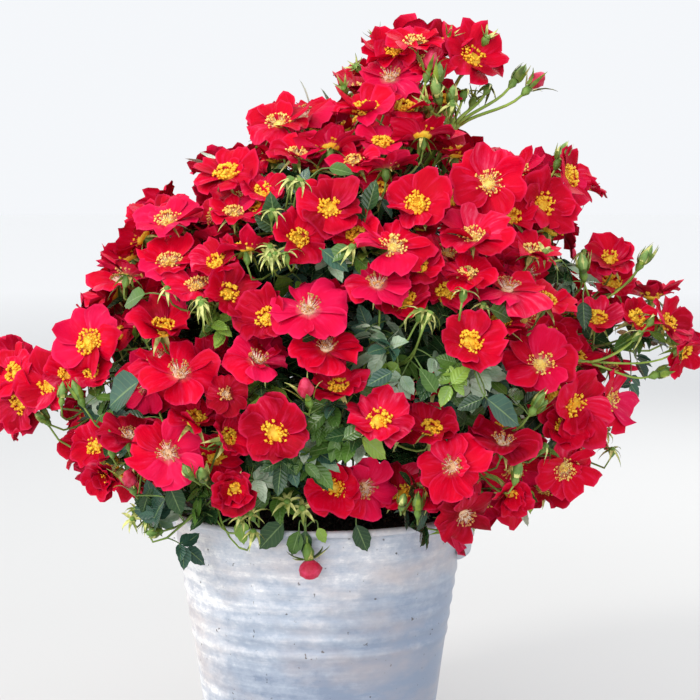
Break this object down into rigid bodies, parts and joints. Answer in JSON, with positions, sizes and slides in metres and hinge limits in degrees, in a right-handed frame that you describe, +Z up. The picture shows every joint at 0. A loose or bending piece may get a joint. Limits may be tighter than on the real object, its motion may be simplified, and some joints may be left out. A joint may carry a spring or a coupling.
{
  "type": "potted rose bush",
  "caption": "Bushy patio rose in full bloom in a round tapered zinc pot, with sprays that arch out past the rim.",
  "frame": {"origin": "centre of the pot's flat underside, on the surface that it stands on", "axes": "+Z up along the pot's axis, -Y towards the side the plant is seen from, +X to the right of that view"},
  "size_m": [0.5127, 0.3708, 0.5567],
  "materials": {
    "zinc": "matte",
    "peat": "matte",
    "bark": "matte",
    "blossom": "matte"
  },
  "bodies": {
    "root": {"pot": "zinc", "ear_right": "zinc", "ear_left": "zinc", "soil": "peat", "stem_base": "bark", "cane_right_shoulder": "bark", "foliage_right_shoulder": "blossom", "bough_right_spray": "bark", "foliage_right_spray": "blossom", "bough_back_right_mid": "bark", "foliage_back_right_mid": "blossom", "cane_top_spray": "bark", "foliage_top_spray": "blossom", "bough_front_upper": "bark", "foliage_front_upper": "blossom", "bough_top_left": "bark", "foliage_top_left": "blossom", "cane_left_shoulder": "bark", "foliage_left_shoulder": "blossom", "bough_left_spray": "bark", "foliage_left_spray": "blossom", "bough_back_left_mid": "bark", "foliage_back_left_mid": "blossom", "cane_front_left_mid": "bark", "foliage_front_left_mid": "blossom", "bough_front_left_low": "bark", "foliage_front_left_low": "blossom", "bough_front_low": "bark", "foliage_front_low": "blossom", "cane_front_right_mid": "bark", "foliage_front_right_mid": "blossom", "bough_front_right_low": "bark", "foliage_front_right_low": "blossom", "cane_back_upper": "bark", "foliage_back_upper": "blossom", "bough_back_low": "bark", "foliage_back_low": "blossom", "bough_back_left_low": "bark", "foliage_back_left_low": "blossom", "bough_back_right_low": "bark", "foliage_back_right_low": "blossom"}
  },
  "joints": []
}
